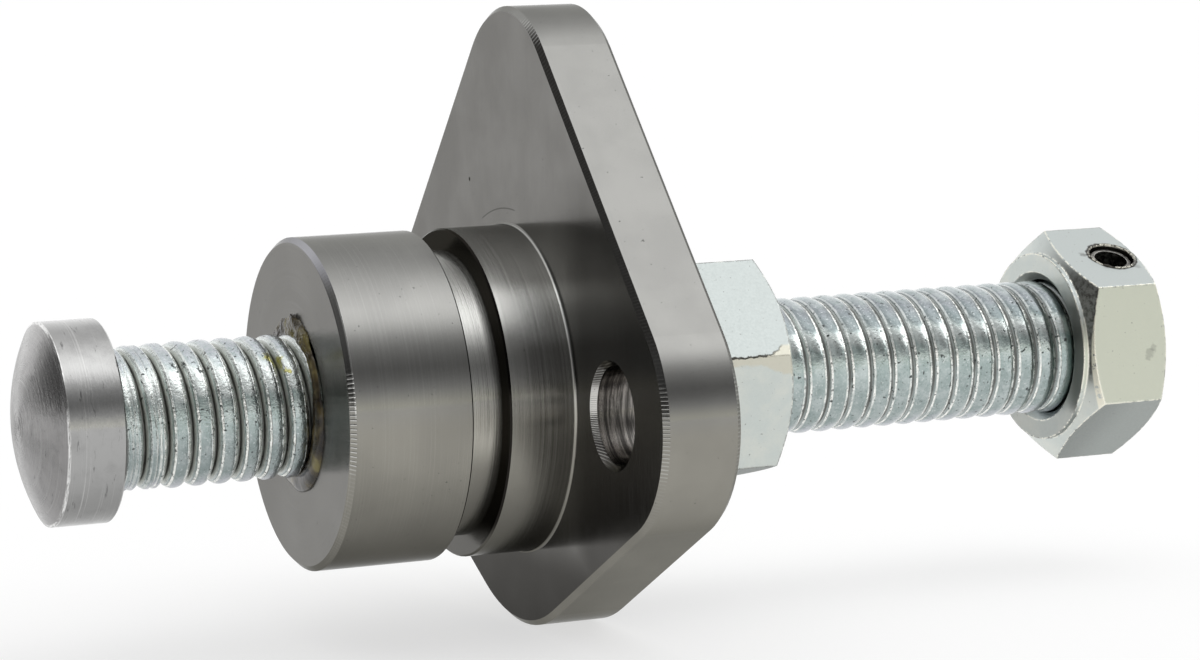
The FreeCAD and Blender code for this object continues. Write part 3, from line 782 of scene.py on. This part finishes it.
# One ridge of the thread from valley to valley: place across the pitch from -1 to 1, and
# how far the surface lies under the crest, near the tip.
THREAD_PROFILE = (
    (-1.00, 0.88), (-0.94, 0.66), (-0.88, 0.48), (-0.81, 0.34), (-0.72, 0.235), (-0.60, 0.145),
    (-0.45, 0.075), (-0.22, 0.018), (0.0, 0.0), (0.25, 0.022), (0.42, 0.070), (0.56, 0.135),
    (0.67, 0.215), (0.76, 0.310), (0.84, 0.430), (0.90, 0.560), (0.95, 0.710),
)
THREAD_COLUMNS = 96
THREAD_START = -30.16      # a valley of the helix, over the top
# the helix lies this much further along at x, to meet the ridges in the photograph
THREAD_SHIFTS = ((-15.4, -0.71), (18.5, 0.10), (29.5, 0.40), (40.5, 0.73))
HEADWARD = ((DEPTH_CHANGES[0], 0.0), (DEPTH_CHANGES[1], 1.0))
# bruised lips beside the valley, near the head: how high, where across the pitch, how wide
LIP_HEIGHT, LIP_PLACES, LIP_WIDTH = 0.06, (-0.81, 0.76), 0.05
# the second, weaker groove that the die's first turns left: how deep, where, how wide, how
# far from the stud's start, and over what length it runs out
CUT_DEPTH, CUT_PLACE, CUT_WIDTH, CUT_LENGTH, CUT_FADE = 0.26, 0.05, 0.22, 4.2, 1.5
STUD_START, STUD_END = -28.72, 46.85
START_DROP, START_SLOPE = 0.15, 0.5      # the stud's front end tapers
END_CHAMFER = 0.6
# the flat rear end's rings, with a shallow dimple left by the lathe: how deep, and radius
END_RINGS = ((0.0, THREAD_RADIUS - END_CHAMFER), (0.0, 0.9), (0.05, 0.8), (0.3, 0.0))
PIN_CUT = 1.38             # inside the spring pin's wall, which hides the cut


def in_pin(spot):
    """Whether a point lies in the bore that the spring pin crosses the stud by."""
    sideways = spot[1] * math.cos(PIN_TURN) + spot[2] * math.sin(PIN_TURN)
    return math.hypot(spot[0] - PIN_X, sideways) < PIN_CUT


def under_crest(across, deep, x):
    """How far the thread lies under its crest at x, where its profile has this depth."""
    headward = table(HEADWARD, x)[0]
    drop = deep + (HEAD_DEPTH * (1 - math.exp(-deep / HEAD_DEPTH)) - deep) * headward
    drop -= sum(LIP_HEIGHT * headward * math.exp(-((across - place) / LIP_WIDTH) ** 2)
                for place in LIP_PLACES)
    first_turns = min(max((STUD_START + CUT_LENGTH - x) / CUT_FADE, 0.0), 1.0)
    return max(drop, CUT_DEPTH * first_turns * math.exp(-((across - CUT_PLACE) / CUT_WIDTH) ** 2))


def thread_radius(drop, x, theta):
    """The stud's radius, with its wear and its tapered ends."""
    spot = Vector((x * 0.9, math.cos(theta) * 4.0, math.sin(theta) * 4.0))
    wear = 0.02 * noise.noise(spot * 1.7) + 0.012 * noise.noise(spot * 5.1)
    radius = CREST_RADIUS - drop * (1 + 0.15 * noise.noise(spot * 0.6)) + min(wear, 0.0) * 1.5
    return min(radius, THREAD_RADIUS - START_DROP + (x - STUD_START) * START_SLOPE,
               THREAD_RADIUS - END_CHAMFER + (STUD_END - x), THREAD_RADIUS)


def stud_thread(material):
    """The whole rolled stud as one grid of helical rows."""
    pitch, columns, rows = THREAD_PITCH, THREAD_COLUMNS, len(THREAD_PROFILE)
    turns = math.ceil((STUD_END - THREAD_START) / pitch) + 2
    points = []
    for row in range(turns * rows):
        across, deep = THREAD_PROFILE[row % rows]
        along = THREAD_START - pitch + pitch * (row // rows + (across + 1) / 2)
        for column in range(columns):
            turn = column / columns
            theta = turn * math.tau
            x = along + pitch * turn
            x = min(max(x + table(THREAD_SHIFTS, x)[0], STUD_START), STUD_END)
            radius = thread_radius(under_crest(across, deep, x), x, theta)
            # right-hand: a row moves towards the head as it turns clockwise seen from the tip
            points.append((x, radius * math.cos(theta), radius * math.sin(theta)))
    grid = len(points)
    faces = []
    for row in range(turns * rows - 1):
        for column in range(columns):
            low = row * columns + column
            # the last column meets the first one of the next turn
            across = low + 1 if column + 1 < columns else (row + rows) * columns
            if across + columns >= grid or in_pin(points[low]):
                continue
            face = (low, across, across + columns, low + columns)
            if any(points[corner][0] > STUD_START for corner in face):
                faces.append(face)
    for inset, radius in END_RINGS:
        for column in range(columns):
            theta = column / columns * math.tau
            points.append((STUD_END - inset, radius * math.cos(theta), radius * math.sin(theta)))
    faces += ring_faces(grid, len(END_RINGS) - 1, columns)
    return mesh_piece("stud_thread", points, faces, material, "screw")


# ---------------------------------------------------------------- the small pieces

# The sealant's bead round the stud: degrees from the top, over the near side; how far it
# stands off the nose's face, and how wide it is on it.
BEAD = (
    (0, 0.62, 1.25), (22, 0.50, 1.00), (42, 0.22, 0.45), (70, 0.20, 0.40), (92, 0.55, 0.75),
    (112, 0.82, 1.02), (150, 0.85, 1.08), (172, 0.70, 1.00), (190, 0.45, 0.80), (230, 0.25, 0.50),
    (300, 0.22, 0.45), (330, 0.45, 0.90), (360, 0.62, 1.25),
)
BEAD_INSIDE = 4.1
BEAD_ROOM = 0.46           # the retracted tip stops this far off the nose's face
BEAD_SOFT = 0.30           # over this length its height eases into that room
BEAD_ROOT = 0.05           # how far it reaches into the nose's face
NOSE_END = -15.4

COLLAR_RADIUS, COLLAR_FILLET = 11.0, 0.2
BURR_HEIGHT = 7.1 - 0.01   # just in the head's top flat
BURR_RADIUS, BURR_SIZE = 1.68, 0.09


def sealant_bead(material):
    """A squeezed-out bead, lumpy over the top and smooth below."""
    def spot(along, theta):
        stand, width = table(BEAD, math.degrees(theta))
        over = max(0.0, math.cos(theta))
        place = Vector((along * 3.6, math.sin(theta) * 4.0, math.cos(theta) * 4.0))
        lump = 1 + over * (0.75 * noise.noise(place * 1.1) + 0.4 * noise.noise(place * 2.7)) \
            + 0.10 * noise.noise(place * 0.8 + Vector((7, 0, 0)))
        outside = THREAD_RADIUS + width * (0.55 + 0.45 * max(lump, 0.3))
        middle, half = (BEAD_INSIDE + outside) / 2, (outside - BEAD_INSIDE) / 2
        stand = BEAD_ROOM * (1 - math.exp(-max(stand * lump, 0.0) / BEAD_SOFT))
        x = NOSE_END + BEAD_ROOT - (stand + BEAD_ROOT) * math.sin(along * math.pi) ** 0.8
        return round_x(x, middle - half * math.cos(along * math.pi), -theta)

    return surface("sealant_bead", 20, 360, spot, material, "housing")


def collar_fillet(material):
    """The small radius where the collar meets the flange."""
    def spot(along, theta):
        turn = along * math.pi / 2
        return round_x(-COLLAR_FILLET * (1 - math.sin(turn)),
                       COLLAR_RADIUS + COLLAR_FILLET * (1 - math.cos(turn)), theta)

    surface("collar_fillet", 8, 256, spot, material, "housing")


def pin_hole_burr(material):
    """The bright ragged rim that the drill raised round the pin's hole, on the top flat."""
    out = Vector((0, -math.sin(PIN_TURN), math.cos(PIN_TURN)))
    side = Vector((0, math.cos(PIN_TURN), math.sin(PIN_TURN)))

    def spot(along, theta):
        ragged = 1 + 0.9 * noise.noise(Vector((math.cos(theta), math.sin(theta), 0)) * 3.1)
        size = BURR_SIZE * max(ragged, 0.3)
        turn = along * math.pi
        reach = BURR_RADIUS - size * 0.8 * math.cos(turn)
        return (Vector((PIN_X, 0, 0)) + out * (BURR_HEIGHT + size * math.sin(turn))
                + Vector((1, 0, 0)) * reach * math.cos(theta) + side * reach * math.sin(theta))

    surface("pin_hole_burr", 6, 96, spot, material, "screw")


def main():
    make_camera()
    make_world()
    make_floor()
    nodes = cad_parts
    steel, nuts, dark = zinc_steel(), nut_steel(), body_metal()
    tip, pin, amber = tip_metal(), pin_steel(), sealant()
    for name, material in (
            ("tensioner_body", dark), ("pusher_tip", tip), ("adjuster_stud", steel),
            ("jam_nut", nuts), ("head_nut", nuts), ("spring_pin", pin),
            ("thread_sealant", amber)):
        for slot in nodes[name].material_slots:
            slot.material = material
    thread = stud_thread(steel)
    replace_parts(thread, "adjuster_stud")
    collar_fillet(dark)
    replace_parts(sealant_bead(amber), "thread_sealant")
    pin_hole_burr(nuts)


main()
